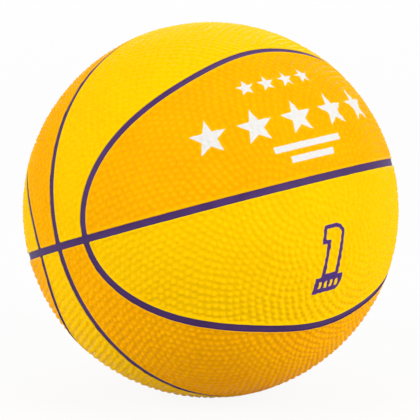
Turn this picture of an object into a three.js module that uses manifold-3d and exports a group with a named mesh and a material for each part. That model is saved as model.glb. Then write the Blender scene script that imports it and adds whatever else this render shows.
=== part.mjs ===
// A mini basketball: an inflated bladder with a wound layer, a rubber carcass, a cover of eight
// panels between recessed seam strips, and a needle valve that pulls out of its housing.
// Lengths are in millimetres. The ball stands on the plane Z = 0, with +Z up.
import * as THREE from "three";
import { mergeVertices } from "three/addons/utils/BufferGeometryUtils.js";
import Module from "manifold-3d";

// The ball and its layers, from the outside in.
const BALL_DIAMETER = 130;
const COVER_THICKNESS = 1.6;
const CARCASS_THICKNESS = 1.1;
const WINDING_THICKNESS = 0.6;
const BLADDER_THICKNESS = 1.2;

// Left between neighbouring pieces.
const CLEARANCE = 0.3;

// The flat where the weight of the ball presses it on to the floor.
const FOOT_RADIUS = 6;

// Seams. A band is what lies between the meridian seam and an oval seam, and its width is measured
// over the surface: at the equator, at the pole, and halfway between them along the meridian.
const SEAM_WIDTH = 2.4;
const SEAM_RECESS = 0.6;
const BAND_AT_EQUATOR = 14.3;
const BAND_HALFWAY = 38.3;
const BAND_AT_POLE = 49.2;

// The valve, in the upper left side panel.
const VALVE_ABOVE_EQUATOR = 18;
const VALVE_RECESS = 0.4;
const NEEDLE_HOLE_RADIUS = 0.6;
const NEEDLE_HOLE_DEPTH = 7;
const FUNNEL_FLARE = 0.6;
const FUNNEL_DEPTH = 3;
const CORE_RIM = 1.2;
const CORE_TAPER = 0.4;
const CORE_FLOOR = 3;
const BOOT_WALL = 1.5;
const BOOT_SKIRT = 1.2;
const FLANGE_REACH = 8;
const FLANGE_THICKNESS = 1.2;

// How the ball has come to rest: turned about the equator's own axis, then nodding and leaning.
const TURN = THREE.MathUtils.degToRad(-51.45);
const NOD = THREE.MathUtils.degToRad(-10.91);
const LEAN = THREE.MathUtils.degToRad(-14.92);

// Lengths of the straight edges that stand for curves.
const PANEL_STEP = 7.5;
const SEAM_STEP = 7.5;
const LAYER_SEGMENTS = 24;
const LAYER_RINGS = 14;
const VALVE_SEGMENTS = 24;

// The part of an oval, from the equator up, that makes the short edge of a side panel's grid.
const SIDE_PANEL_CORNER = THREE.MathUtils.degToRad(35);

// Radii that follow from the layers.
const BALL_RADIUS = BALL_DIAMETER / 2;
const COVER_INNER = BALL_RADIUS - COVER_THICKNESS;
const CARCASS_OUTER = COVER_INNER - CLEARANCE;
const CARCASS_INNER = CARCASS_OUTER - CARCASS_THICKNESS;
const WINDING_OUTER = CARCASS_INNER - CLEARANCE;
const WINDING_INNER = WINDING_OUTER - WINDING_THICKNESS;
const BLADDER_OUTER = WINDING_INNER - CLEARANCE;
const BLADDER_INNER = BLADDER_OUTER - BLADDER_THICKNESS;

// Radii and heights that follow from the valve, with heights measured from the ball's centre.
const CORE_RADIUS = NEEDLE_HOLE_RADIUS + FUNNEL_FLARE + CORE_RIM;
const BORE_RADIUS = CORE_RADIUS + CLEARANCE;
const BOOT_RADIUS = BORE_RADIUS + BOOT_WALL;
const VALVE_HOLE_RADIUS = BOOT_RADIUS + CLEARANCE;
const FLANGE_RADIUS = BOOT_RADIUS + FLANGE_REACH;
const VALVE_TOP = BALL_RADIUS - VALVE_RECESS;
const CORE_BOTTOM = VALVE_TOP - FUNNEL_DEPTH - NEEDLE_HOLE_DEPTH - CORE_FLOOR;
const BOOT_BOTTOM = CORE_BOTTOM - BOOT_SKIRT;

// Distance from a seam's centre line to the edge of the panel beside it.
const PANEL_EDGE = SEAM_WIDTH / 2 + CLEARANCE;

// Finishes: matte rubbers, and thread set in latex.
const YELLOW = { color: 0xfdd000, roughness: 0.55, metalness: 0 };
const ORANGE = { color: 0xfdb000, roughness: 0.55, metalness: 0 };
const PURPLE = { color: 0x4b3280, roughness: 0.6, metalness: 0 };
const CARCASS = { color: 0x3a3836, roughness: 0.8, metalness: 0 };
const NYLON = { color: 0xe4dfd0, roughness: 0.7, metalness: 0 };
const BUTYL = { color: 0x1d1d1f, roughness: 0.5, metalness: 0 };
const VALVE_RUBBER = { color: 0x2b2b2d, roughness: 0.55, metalness: 0 };

const wasm = await Module();
wasm.setup();

const lerp = THREE.MathUtils.lerp;

// The ball's own frame has the equator seam in its XY plane and the ovals centred on its X axis.
// `round` goes along the meridian seam from the front crossing (-Y) over the top to the back, and
// `off` is the distance from that seam over the surface, towards +X.
function direction(round, off) {
  const tilt = off / BALL_RADIUS;
  return new THREE.Vector3(
    Math.sin(tilt),
    -Math.cos(tilt) * Math.cos(round),
    Math.cos(tilt) * Math.sin(round),
  );
}

// `round` at which a line at distance `off` meets the panel edge beside the equator seam.
function startAngle(off) {
  return Math.asin(Math.sin(PANEL_EDGE / BALL_RADIUS) / Math.cos(off / BALL_RADIUS));
}

// Distance from the meridian seam of a line that runs beside the oval seam at `beside`. The band's
// width is a mean plus waves of two and four periods in a full turn, which fit its three sizes.
function ovalLine(round, beside) {
  const mean = (BAND_AT_EQUATOR + BAND_AT_POLE) / 4 + BAND_HALFWAY / 2;
  const twoWave = (BAND_AT_EQUATOR - BAND_AT_POLE) / 2;
  const fourWave = (BAND_AT_EQUATOR + BAND_AT_POLE) / 4 - BAND_HALFWAY / 2;
  const width = mean + twoWave * Math.cos(2 * round) + fourWave * Math.cos(4 * round);
  const rise = -2 * twoWave * Math.sin(2 * round) - 4 * fourWave * Math.sin(4 * round);
  const slope = rise / (BALL_RADIUS * Math.cos(width / BALL_RADIUS));
  return width + beside * Math.hypot(1, slope);
}

// A patch of directions that runs from the front of the equator seam over the top to its back.
// offAt(u, round) gives its distance from the meridian seam, and its ends follow the equator.
function overTheTop(offAt) {
  return (u, v) => {
    let round = Math.PI * v;
    for (let pass = 0; pass < 4; pass++) {
      const start = startAngle(offAt(u, round));
      round = lerp(start, Math.PI - start, v);
    }
    return direction(round, offAt(u, round));
  };
}

const bandPatch = overTheTop((u, round) => lerp(PANEL_EDGE, ovalLine(round, -PANEL_EDGE), u));
const meridianPatch = overTheTop((u) => (u - 0.5) * SEAM_WIDTH);
const ovalPatch = overTheTop((u, round) => ovalLine(round, (u - 0.5) * SEAM_WIDTH));

// The equator seam, from its upper edge to its lower edge, and once round the ball.
function equatorPatch(u, v) {
  const height = (0.5 - u) * SEAM_WIDTH / BALL_RADIUS;
  const turn = 2 * Math.PI * v;
  return new THREE.Vector3(
    Math.sin(turn) * Math.cos(height),
    -Math.cos(turn) * Math.cos(height),
    Math.sin(height),
  );
}

// A side panel: a grid blended between the equator's edge below and three stretches of the oval.
function sidePatch(u, v) {
  const oval = (round) => direction(round, ovalLine(round, PANEL_EDGE));
  const start = startAngle(ovalLine(0, PANEL_EDGE));
  const frontCorner = oval(start);
  const turnStart = Math.atan2(frontCorner.x, -frontCorner.y);
  const turn = lerp(turnStart, Math.PI - turnStart, u);
  const flat = Math.hypot(frontCorner.x, frontCorner.y);
  const bottom = new THREE.Vector3(Math.sin(turn) * flat, -Math.cos(turn) * flat, frontCorner.z);
  const top = oval(lerp(SIDE_PANEL_CORNER, Math.PI - SIDE_PANEL_CORNER, u));
  const sideRound = lerp(start, SIDE_PANEL_CORNER, v);
  const sides = oval(sideRound).lerp(oval(Math.PI - sideRound), u);
  const lowerCorners = oval(start).lerp(oval(Math.PI - start), u);
  const upperCorners = oval(SIDE_PANEL_CORNER).lerp(oval(Math.PI - SIDE_PANEL_CORNER), u);
  return bottom.lerp(top, v).add(sides).sub(lowerCorners.lerp(upperCorners, v)).normalize();
}

// The same patch on another quarter of the ball: side is +1 or -1 in X, and level in Z. A mirrored
// patch runs the other way across, so that it still faces outwards.
function onQuarter(patch, side, level) {
  return (u, v) => patch(side * level > 0 ? u : 1 - u, v).multiply(new THREE.Vector3(side, 1, level));
}

// A curved plate that fills a patch between two radii. A looped plate joins its end to its start.
function plate(patch, columns, rows, outer, inner, looped = false) {
  const lines = looped ? rows : rows + 1;
  const positions = [];
  for (const radius of [outer, inner]) {
    for (let row = 0; row < lines; row++) {
      for (let column = 0; column <= columns; column++) {
        positions.push(...patch(column / columns, row / rows).multiplyScalar(radius).toArray());
      }
    }
  }
  const index = [];
  const quad = (a, b, c, d) => index.push(a, b, c, a, c, d);
  const at = (layer, column, row) => (layer * lines + (row % lines)) * (columns + 1) + column;
  for (let row = 0; row < rows; row++) {
    for (let i = 0; i < columns; i++) {
      quad(at(0, i, row), at(0, i + 1, row), at(0, i + 1, row + 1), at(0, i, row + 1));
      quad(at(1, i, row), at(1, i, row + 1), at(1, i + 1, row + 1), at(1, i + 1, row));
    }
    quad(at(0, 0, row), at(0, 0, row + 1), at(1, 0, row + 1), at(1, 0, row));
    quad(at(0, columns, row), at(1, columns, row), at(1, columns, row + 1), at(0, columns, row + 1));
  }
  const endColumns = looped ? 0 : columns;
  for (let i = 0; i < endColumns; i++) {
    quad(at(0, i, 0), at(1, i, 0), at(1, i + 1, 0), at(0, i + 1, 0));
    quad(at(0, i, rows), at(0, i + 1, rows), at(1, i + 1, rows), at(1, i, rows));
  }
  const geometry = new THREE.BufferGeometry();
  geometry.setAttribute("position", new THREE.Float32BufferAttribute(positions, 3));
  geometry.setIndex(index);
  return geometry;
}

// A closed geometry as a solid that can be joined and cut, and back again.
function solidOf(geometry) {
  geometry.deleteAttribute("normal");
  geometry.deleteAttribute("uv");
  const merged = mergeVertices(geometry);
  return new wasm.Manifold(new wasm.Mesh({
    numProp: 3,
    vertProperties: merged.getAttribute("position").array,
    triVerts: new Uint32Array(merged.index.array),
  }));
}

function geometryOf(solid) {
  const { vertProperties, triVerts } = solid.getMesh();
  const geometry = new THREE.BufferGeometry();
  geometry.setAttribute("position", new THREE.BufferAttribute(vertProperties, 3));
  geometry.setIndex(new THREE.BufferAttribute(triVerts, 1));
  return geometry;
}

function piece(parent, name, geometry, finish) {
  geometry.computeVertexNormals();
  const mesh = new THREE.Mesh(geometry, new THREE.MeshStandardMaterial(finish));
  mesh.name = name;
  parent.add(mesh);
}

// The ball stands in the part with its foot on the floor, and its valve stands in the ball with
// the valve's axis along +Y, as round geometry has it.
const part = new THREE.Group();
const ball = new THREE.Group();
ball.position.z = Math.sqrt(BALL_RADIUS ** 2 - FOOT_RADIUS ** 2);
ball.rotation.set(NOD, LEAN, TURN, "YXZ");
part.add(ball);

const valveRise = VALVE_ABOVE_EQUATOR / BALL_RADIUS;
const valveAxis = new THREE.Vector3(-Math.cos(valveRise), 0, Math.sin(valveRise));
const valve = new THREE.Group();
valve.quaternion.setFromUnitVectors(new THREE.Vector3(0, 1, 0), valveAxis);
ball.add(valve);
part.updateMatrixWorld(true);

// A round bar on the valve's axis, between two heights from the ball's centre.
function valveBar(radius, bottom, top) {
  const bar = new THREE.CylinderGeometry(radius, radius, top - bottom, VALVE_SEGMENTS);
  return solidOf(bar.translate(0, (bottom + top) / 2, 0));
}

function fullBall(radius) {
  return solidOf(new THREE.SphereGeometry(radius, LAYER_SEGMENTS, LAYER_RINGS));
}

// Everything below the floor, and the hole for the valve, as the ball's own frame sees them.
const floorBlock = new THREE.BoxGeometry(BALL_DIAMETER, BALL_DIAMETER, BALL_DIAMETER);
floorBlock.translate(0, 0, -BALL_RADIUS).applyMatrix4(ball.matrixWorld.clone().invert());
const floor = solidOf(floorBlock);
const valveHole = valveBar(VALVE_HOLE_RADIUS, 0, BALL_DIAMETER);
const panelHole = solidOf(geometryOf(valveHole).applyMatrix4(valve.matrix));

// The cover. Side panels and band panels alternate in colour like a chequerboard.
const sideLength = Math.PI * BALL_RADIUS;
const sideHeight = sideLength / 2 - BAND_AT_POLE;
const grid = (length) => Math.ceil(length / PANEL_STEP);
for (const [side, sideName] of [[1, "right"], [-1, "left"]]) {
  for (const [level, levelName] of [[1, "upper"], [-1, "lower"]]) {
    const sidePlate = plate(
      onQuarter(sidePatch, side, level), grid(sideLength), grid(sideHeight), BALL_RADIUS, COVER_INNER);
    const bandPlate = plate(
      onQuarter(bandPatch, side, level), grid(BAND_AT_POLE), grid(sideLength), BALL_RADIUS, COVER_INNER);
    const cutSide = geometryOf(solidOf(sidePlate).subtract(floor).subtract(panelHole));
    const cutBand = geometryOf(solidOf(bandPlate).subtract(floor).subtract(panelHole));
    const same = side === level;
    const quarter = `${sideName}_${levelName}`;
    piece(ball, `${quarter}_side_panel`, cutSide, same ? ORANGE : YELLOW);
    piece(ball, `${quarter}_band_panel`, cutBand, same ? YELLOW : ORANGE);
  }
}

// The seam strips, recessed between the panels.
const seamOuter = BALL_RADIUS - SEAM_RECESS;
const seamRows = Math.ceil(sideLength / SEAM_STEP);
const strip = (patch) => plate(patch, 1, seamRows, seamOuter, COVER_INNER);
const equator = plate(equatorPatch, 1, 2 * seamRows, seamOuter, COVER_INNER, true);
piece(ball, "equator_seam", equator, PURPLE);
for (const [level, levelName] of [[1, "upper"], [-1, "lower"]]) {
  piece(ball, `meridian_seam_${levelName}`, strip(onQuarter(meridianPatch, 1, level)), PURPLE);
  for (const [side, sideName] of [[1, "right"], [-1, "left"]]) {
    const oval = strip(onQuarter(ovalPatch, side, level));
    piece(ball, `${sideName}_oval_seam_${levelName}`, oval, PURPLE);
  }
}

// The layers under the cover, each a hollow ball with the valve's hole through it. The carcass is
// in two halves, split square to the valve.
function layer(outer, inner) {
  return fullBall(outer).subtract(fullBall(inner)).subtract(valveHole);
}

const carcass = layer(CARCASS_OUTER, CARCASS_INNER);
const valveHalf = carcass.intersect(valveBar(BALL_DIAMETER, CLEARANCE / 2, BALL_DIAMETER));
const closedHalf = carcass.intersect(valveBar(BALL_DIAMETER, -BALL_DIAMETER, -CLEARANCE / 2));
piece(valve, "carcass_valve_half", geometryOf(valveHalf), CARCASS);
piece(valve, "carcass_closed_half", geometryOf(closedHalf), CARCASS);
piece(valve, "nylon_winding", geometryOf(layer(WINDING_OUTER, WINDING_INNER)), NYLON);
piece(valve, "bladder", geometryOf(layer(BLADDER_OUTER, BLADDER_INNER)), BUTYL);

// The valve's boot: a tube through all the layers, and a flange that follows the bladder inside.
const flangeTop = BLADDER_INNER - CLEARANCE;
const flangeBottom = Math.sqrt(flangeTop ** 2 - FLANGE_RADIUS ** 2) - FLANGE_THICKNESS;
const flange = valveBar(FLANGE_RADIUS, flangeBottom, BALL_RADIUS).intersect(fullBall(flangeTop));
const boot = valveBar(BOOT_RADIUS, BOOT_BOTTOM, VALVE_TOP).add(flange);
const bore = valveBar(BORE_RADIUS, 0, BALL_DIAMETER);
piece(valve, "valve_housing", geometryOf(boot.subtract(bore)), VALVE_RUBBER);

// The valve's core: a tapered plug with a funnel that leads a needle into a blind hole.
const coreProfile = [
  [0, CORE_BOTTOM],
  [CORE_RADIUS - CORE_TAPER, CORE_BOTTOM],
  [CORE_RADIUS, VALVE_TOP - FUNNEL_DEPTH],
  [CORE_RADIUS, VALVE_TOP],
  [NEEDLE_HOLE_RADIUS + FUNNEL_FLARE, VALVE_TOP],
  [NEEDLE_HOLE_RADIUS, VALVE_TOP - FUNNEL_DEPTH],
  [NEEDLE_HOLE_RADIUS, CORE_BOTTOM + CORE_FLOOR],
  [0, CORE_BOTTOM + CORE_FLOOR],
].map(([radius, height]) => new THREE.Vector2(radius, height));
const core = solidOf(new THREE.LatheGeometry(coreProfile, VALVE_SEGMENTS));
piece(valve, "valve_core", geometryOf(core), VALVE_RUBBER);

export default part;
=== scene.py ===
# %% [markdown]
# # A mini basketball
#
# This lesson dresses a small rubber basketball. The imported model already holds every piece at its
# real size: eight cover panels, seven seam strips, the layers underneath and the valve. Here each of
# them gets its surface: moulded pebbles, painted channels, ink, thread and rubber.

import bpy
import numpy as np
from mathutils import Euler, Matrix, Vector


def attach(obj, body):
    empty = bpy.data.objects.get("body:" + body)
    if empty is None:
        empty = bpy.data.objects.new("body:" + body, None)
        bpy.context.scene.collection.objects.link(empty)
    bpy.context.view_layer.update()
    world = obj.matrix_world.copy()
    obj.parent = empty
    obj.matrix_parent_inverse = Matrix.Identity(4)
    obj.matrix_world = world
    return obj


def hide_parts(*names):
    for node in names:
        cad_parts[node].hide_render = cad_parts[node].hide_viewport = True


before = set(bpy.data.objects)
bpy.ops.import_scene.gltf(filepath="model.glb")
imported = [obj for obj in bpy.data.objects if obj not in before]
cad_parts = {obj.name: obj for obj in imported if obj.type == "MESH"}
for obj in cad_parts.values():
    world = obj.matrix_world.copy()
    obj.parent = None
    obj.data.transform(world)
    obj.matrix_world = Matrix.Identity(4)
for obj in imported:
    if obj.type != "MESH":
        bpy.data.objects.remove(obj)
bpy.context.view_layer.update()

# %% [markdown]
# ## Where the ball is
#
# Sizes are written in millimetres and become metres only when a mesh is made. The ball's own frame
# has the equator seam in its XY plane and the two ovals centred on its X axis. It stands on the
# floor turned and leaning, with a small flat where its weight presses the rubber.

# %% Sizes of the ball and its pose
MM = 0.001
BALL_RADIUS = 65.0
COVER_THICKNESS = 1.6
COVER_INNER = BALL_RADIUS - COVER_THICKNESS
CLEARANCE = 0.3
FOOT_RADIUS = 6.0
TURN, NOD, LEAN = np.radians((-51.45, -10.91, -14.92))

BALL_CENTRE = np.array((0.0, 0.0, np.sqrt(BALL_RADIUS**2 - FOOT_RADIUS**2)))
BALL_TURN = np.array(Euler((NOD, LEAN, TURN), "ZXY").to_matrix())


def in_part(points):
    """Points of the ball's own frame, turned by its pose and lifted to its centre."""
    return points @ BALL_TURN.T + BALL_CENTRE


print("Ball centre in millimetres:", BALL_CENTRE.round(2))

# %% [markdown]
# ## The seam layout
#
# A point of the cover is found by two numbers, as on a map: `along` is the angle round the meridian
# seam from the front crossing over the top, and `off` is the distance from that seam over the
# surface. The ovals are then a formula for `off`: a mean width plus waves of two and four periods,
# set by the band's width at the equator, halfway and at the pole. A drawn curve would do too, but a
# formula also gives the slope, and with it the distance to a seam from anywhere.

# %% Directions and seam distances
SEAM_WIDTH = 2.4
BAND_AT_EQUATOR = 14.3
BAND_HALFWAY = 38.3
BAND_AT_POLE = 49.2
CORNER_ROUNDING = 0.6


def direction(along, off):
    """Unit vectors: `off` tilts away from the meridian plane, `along` turns within it."""
    tilt = off / BALL_RADIUS
    return np.stack((np.sin(tilt), -np.cos(tilt) * np.cos(along), np.cos(tilt) * np.sin(along)), -1)


def oval(along):
    """The oval's distance from the meridian, mean + two-wave + four-wave, and its slope."""
    mean = (BAND_AT_EQUATOR + BAND_AT_POLE) / 4 + BAND_HALFWAY / 2
    two_wave = (BAND_AT_EQUATOR - BAND_AT_POLE) / 2
    four_wave = (BAND_AT_EQUATOR + BAND_AT_POLE) / 4 - BAND_HALFWAY / 2
    width = mean + two_wave * np.cos(2 * along) + four_wave * np.cos(4 * along)
    rise = -2 * two_wave * np.sin(2 * along) - 4 * four_wave * np.sin(4 * along)
    return width, rise / (BALL_RADIUS * np.cos(width / BALL_RADIUS))


def oval_line(along, beside):
    """A line that runs beside the oval: its width plus the offset, stretched by the slope."""
    width, slope = oval(along)
    return width + beside * np.hypot(1, slope)


def smooth_least(a, b, rounding):
    """The lesser of two distances, eased by a parabola where they differ by less than rounding."""
    blend = np.clip(1 - np.abs(a - b) / rounding, 0, 1)
    return np.minimum(a, b) - blend**2 * rounding / 4


def seam_distance(points):
    """Distance over the surface to the nearest seam's centre line, rounded in the corners."""
    off = BALL_RADIUS * np.arcsin(np.clip(points[..., 0], -1, 1))
    width, slope = oval(np.arctan2(points[..., 2], -points[..., 1]))
    to_oval = np.abs(np.abs(off) - width) / np.hypot(1, slope)
    to_equator = BALL_RADIUS * np.abs(np.arcsin(np.clip(points[..., 2], -1, 1)))
    return smooth_least(smooth_least(to_oval, np.abs(off), CORNER_ROUNDING), to_equator, CORNER_ROUNDING)


top_of_band = BALL_RADIUS * np.pi / 2 - oval(np.pi / 2)[0]
print("A side panel reaches", round(float(top_of_band), 1), "mm above the equator")

# %% [markdown]
# ## Pebbles
#
# The mould's pebbles lie in rows that bend and change from square to staggered. A golden-angle
# lattice does the same: point i lies at an even step in height and is turned by i golden angles.
# Near any point of the sphere the lattice is nearly a grid of two steps, both Fibonacci numbers, so
# the nearest pebble is found by arithmetic on whole arrays, with no search. The lattice's poles lie in
# the side panels, near the valve and opposite it, so that its rows bend round those panels.

# %% Pebble lattice
PEBBLE_COUNT = 8800
PEBBLE_SHIFT = 0.34
GOLDEN = (1 + 5**0.5) / 2
LATTICE_TILT = np.radians(13)
LATTICE_FRAME = np.array((
    (0, 1, 0),
    (np.sin(LATTICE_TILT), 0, np.cos(LATTICE_TILT)),
    (-np.cos(LATTICE_TILT), 0, np.sin(LATTICE_TILT))))
SINE_PER_PEBBLE = 12.9898
SINE_PER_DRAW = 78.233
SINE_STRETCH = 43758.5453


def own_number(index, draw):
    """A number from 0 to 1 that belongs to a pebble: the far decimals of a sine."""
    return np.mod(np.sin(index * SINE_PER_PEBBLE + draw * SINE_PER_DRAW) * SINE_STRETCH, 1)


def lattice_point(index):
    """Height 1 - (2i + 1) / n along the axis, longitude i golden turns, and a small shift."""
    height = 1 - (2 * index + 1) / PEBBLE_COUNT
    longitude = 2 * np.pi * np.mod(index * (GOLDEN - 1), 1)
    flat = np.sqrt(1 - height**2)
    even = np.stack((flat * np.cos(longitude), flat * np.sin(longitude), height), -1)
    shift = np.stack([own_number(index, draw) - 0.5 for draw in (1, 2, 3)], -1)
    return even + shift * (2 * PEBBLE_SHIFT / BALL_RADIUS)


pebble_area = 4 * np.pi * BALL_RADIUS**2 / PEBBLE_COUNT
print("Pebbles:", PEBBLE_COUNT, "of", round(pebble_area, 2), "square millimetres each")


# %% Nearest pebble
def nearest_pebble(points):
    """Chord in millimetres to the nearest pebble, and that pebble's number.

    The local grid's two steps are consecutive Fibonacci numbers, the larger the further from a pole.
    Solving for the steps from pebble 0 and rounding gives the cell, and its 16 corners are compared.
    """
    points = points @ LATTICE_FRAME.T
    first = 1 - 1 / PEBBLE_COUNT
    height = points[:, 2]
    rank = np.log(PEBBLE_COUNT * np.pi * 5**0.5 * (1 - height**2)) / np.log(GOLDEN**2)
    fibonacci = GOLDEN ** np.maximum(2, np.floor(rank)) / 5**0.5
    steps = np.round(fibonacci), np.round(fibonacci * GOLDEN)
    turns = [2 * np.pi * (np.mod((step + 1) * (GOLDEN - 1), 1) - (GOLDEN - 1)) for step in steps]
    drops = [-2 * step / PEBBLE_COUNT for step in steps]
    area = turns[0] * drops[1] - turns[1] * drops[0]
    longitude = np.arctan2(points[:, 1], points[:, 0])
    cell_a = np.floor((drops[1] * longitude - turns[1] * (height - first)) / area)
    cell_b = np.floor((turns[0] * (height - first) - drops[0] * longitude) / area)
    best = np.full(len(points), np.inf)
    number = np.zeros(len(points))
    for step_a in range(-1, 3):
        for step_b in range(-1, 3):
            level = drops[0] * (cell_a + step_a) + drops[1] * (cell_b + step_b) + first
            level = 2 * np.clip(level, -1, 1) - level
            index = np.clip(np.floor(PEBBLE_COUNT * (1 - level) / 2), 0, PEBBLE_COUNT - 1)
            chord = BALL_RADIUS * np.linalg.norm(lattice_point(index) - points, axis=1)
            number = np.where(chord < best, index, number)
            best = np.minimum(chord, best)
    return best, number


crossing = direction(np.zeros(1), np.zeros(1))
print("From the front crossing to its pebble:", nearest_pebble(crossing)[0].round(2), "mm")

# %% [markdown]
# ## The panel surface
#
# Each panel has a rounded shoulder beside its channel, a smooth rim, and then the pebbles, which are
# soft bumps parted by grooves. A bump map would show them in the shading alone, so they are true
# relief. It is one function of the direction, so that neighbouring panels agree, and it also returns
# how deep in a groove each point lies, which the rubber's colour uses to paint shade in the grooves.

# %% Relief of a panel
PANEL_GAP = 0.03
PANEL_EDGE = SEAM_WIDTH / 2 + PANEL_GAP
SHOULDER_WIDTH = 0.7
SHOULDER_DROP = 0.34
PEBBLES_START = 1.5
PEBBLES_FULL = 2.7
PEBBLE_RADIUS = 1.5
PEBBLE_DEPTH = 0.7
PEBBLE_UNEVENNESS = 0.12
VALVE_ABOVE_EQUATOR = 18.0
VALVE_HOLE_RADIUS = 4.5
VALVE_RING_RADIUS = 6.6
VALVE_RING_HALF_WIDTH = 0.7
VALVE_RING_HEIGHT = 0.3
VALVE_PLAIN_WIDTH = 2.6
INK_FILL = 0.5
INK_MARGIN = 1.4

valve_rise = VALVE_ABOVE_EQUATOR / BALL_RADIUS
valve_axis = np.array((-np.cos(valve_rise), 0.0, np.sin(valve_rise)))


def ease(low, high, value):
    """0 below low, 1 above high, and 3t^2 - 2t^3 between them."""
    t = np.clip((value - low) / (high - low), 0, 1)
    return t * t * (3 - 2 * t)


def panel_relief(points, ink=None):
    """Radius, groove depth from 0 to 1, and seam distance at each direction.

    A shoulder is a quarter ellipse. A pebble is a soft bump that eases from its top down to the
    groove at its radius, lowered a little by a number of its own. It fades out towards a seam and
    towards the valve, which has a low moulded ring round it. Thick ink fills part of the grooves, by its
    signed distance `ink`.
    """
    seam = seam_distance(points)
    from_valve = BALL_RADIUS * np.arccos(np.clip(points @ valve_axis, -1, 1))
    near, number = nearest_pebble(points)
    dome = ease(PEBBLE_RADIUS, 0, near)
    dome *= 1 - PEBBLE_UNEVENNESS * own_number(number, 4)
    plain_end = VALVE_RING_RADIUS + VALVE_RING_HALF_WIDTH
    groove = (1 - dome) * ease(PEBBLES_START, PEBBLES_FULL, seam)
    groove *= ease(plain_end, plain_end + VALVE_PLAIN_WIDTH, from_valve)
    if ink is not None:
        groove *= 1 - INK_FILL * ease(-INK_MARGIN, 0, ink)
    to_edge = np.minimum(seam - PANEL_EDGE, from_valve - VALVE_HOLE_RADIUS)
    rise = np.clip(to_edge / SHOULDER_WIDTH, 0, 1)
    shoulder = 1 - np.sqrt(1 - (1 - rise) ** 2)
    from_ring = np.clip((from_valve - VALVE_RING_RADIUS) / VALVE_RING_HALF_WIDTH, -1, 1)
    ring = VALVE_RING_HEIGHT * (0.5 + 0.5 * np.cos(np.pi * from_ring))
    return BALL_RADIUS + ring - SHOULDER_DROP * shoulder - PEBBLE_DEPTH * groove, groove, seam


print("Deepest groove:", PEBBLE_DEPTH, "mm; panel edge:", PANEL_EDGE, "mm from the seam's middle")

# %% [markdown]
# ## Meshes from arrays
#
# One function turns an array of points and blocks of faces into a mesh object. A panel has about
# ninety thousand points, so foreach_set takes whole arrays, which is much quicker than lists. The
# function also measures the volume, which is positive only if the faces point outwards.

# %% Mesh helper
SHARP_ANGLE = np.radians(50)


def volume_of(points, blocks):
    """A sixth of the sum of corner . (corner x corner) over the triangles that fan each face."""
    total = 0.0
    for block in blocks:
        for corner in range(1, block.shape[1] - 1):
            a, b, c = (points[block[:, i]] for i in (0, corner, corner + 1))
            total += np.einsum("ij,ij->", a, np.cross(b, c)) / 6
    return total


def make_piece(name, points, blocks, attributes=None):
    """A smooth mesh at the origin, from points in millimetres and blocks of equal-sized faces."""
    volume = volume_of(points - BALL_CENTRE, blocks)
    if volume < 0:
        blocks = [block[:, ::-1] for block in blocks]
    mesh = bpy.data.meshes.new(name)
    mesh.vertices.add(len(points))
    mesh.vertices.foreach_set("co", (points * MM).astype(np.float32).ravel())
    corners = np.concatenate([block.ravel() for block in blocks])
    counts = np.concatenate([np.full(len(block), block.shape[1]) for block in blocks])
    mesh.loops.add(len(corners))
    mesh.loops.foreach_set("vertex_index", corners.astype(np.int32))
    mesh.polygons.add(len(counts))
    mesh.polygons.foreach_set("loop_start", (np.cumsum(counts) - counts).astype(np.int32))
    for key, values in (attributes or {}).items():
        layer = mesh.attributes.new(key, "FLOAT", "POINT")
        layer.data.foreach_set("value", values.astype(np.float32))
    mesh.update(calc_edges=True)
    mesh.shade_smooth()
    mesh.set_sharp_from_angle(angle=SHARP_ANGLE)
    piece = bpy.data.objects.new(name, mesh)
    bpy.context.scene.collection.objects.link(piece)
    print(f"{name}: {len(counts)} faces, {abs(volume) / 1000:.2f} cubic centimetres")
    return piece


def grid_quads(numbers):
    """Quads between the neighbouring vertex numbers of a grid."""
    corners = (numbers[:-1, :-1], numbers[:-1, 1:], numbers[1:, 1:], numbers[1:, :-1])
    return np.stack(corners, -1).reshape(-1, 4)


def rim(numbers):
    """The vertex numbers round the edge of a grid, once round."""
    return np.concatenate((numbers[0, :-1], numbers[:-1, -1], numbers[-1, :0:-1], numbers[:0:-1, 0]))


print("Round the edge of a 3 by 3 grid:", rim(np.arange(9).reshape(3, 3)))

# %% [markdown]
# ## Panel grids
#
# A band panel is a grid between the meridian's edge and the oval's edge, with its ends cut along the
# equator. A side panel is a half oval, so its grid is blended from four edges: the equator below and
# three stretches of the oval. A ball could be cut up by booleans instead, but a grid that follows the
# edges keeps their shoulders even. It is fine on top, where the pebbles need it, and eight times
# coarser underneath.

# %% Panel patches
SIDE_PANEL_CORNER = np.radians(35)


def start_angle(off):
    """`along` where a line at distance `off` meets the panel edge beside the equator."""
    return np.arcsin(np.sin(PANEL_EDGE / BALL_RADIUS) / np.cos(off / BALL_RADIUS))


def over_the_top(off_at, u, v):
    """Directions from the front of the equator over the top to its back, at off_at(u, along)."""
    along = np.pi * v + 0 * u
    for _ in range(4):
        start = start_angle(off_at(u, along))
        along = start + (np.pi - 2 * start) * v
    return direction(along, off_at(u, along))


def band_off(u, along):
    """From the meridian's edge at u = 0 to the oval's edge at u = 1."""
    return PANEL_EDGE + (oval_line(along, -PANEL_EDGE) - PANEL_EDGE) * u


def band_patch(u, v):
    """A band panel's directions."""
    return over_the_top(band_off, u, v)


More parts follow.
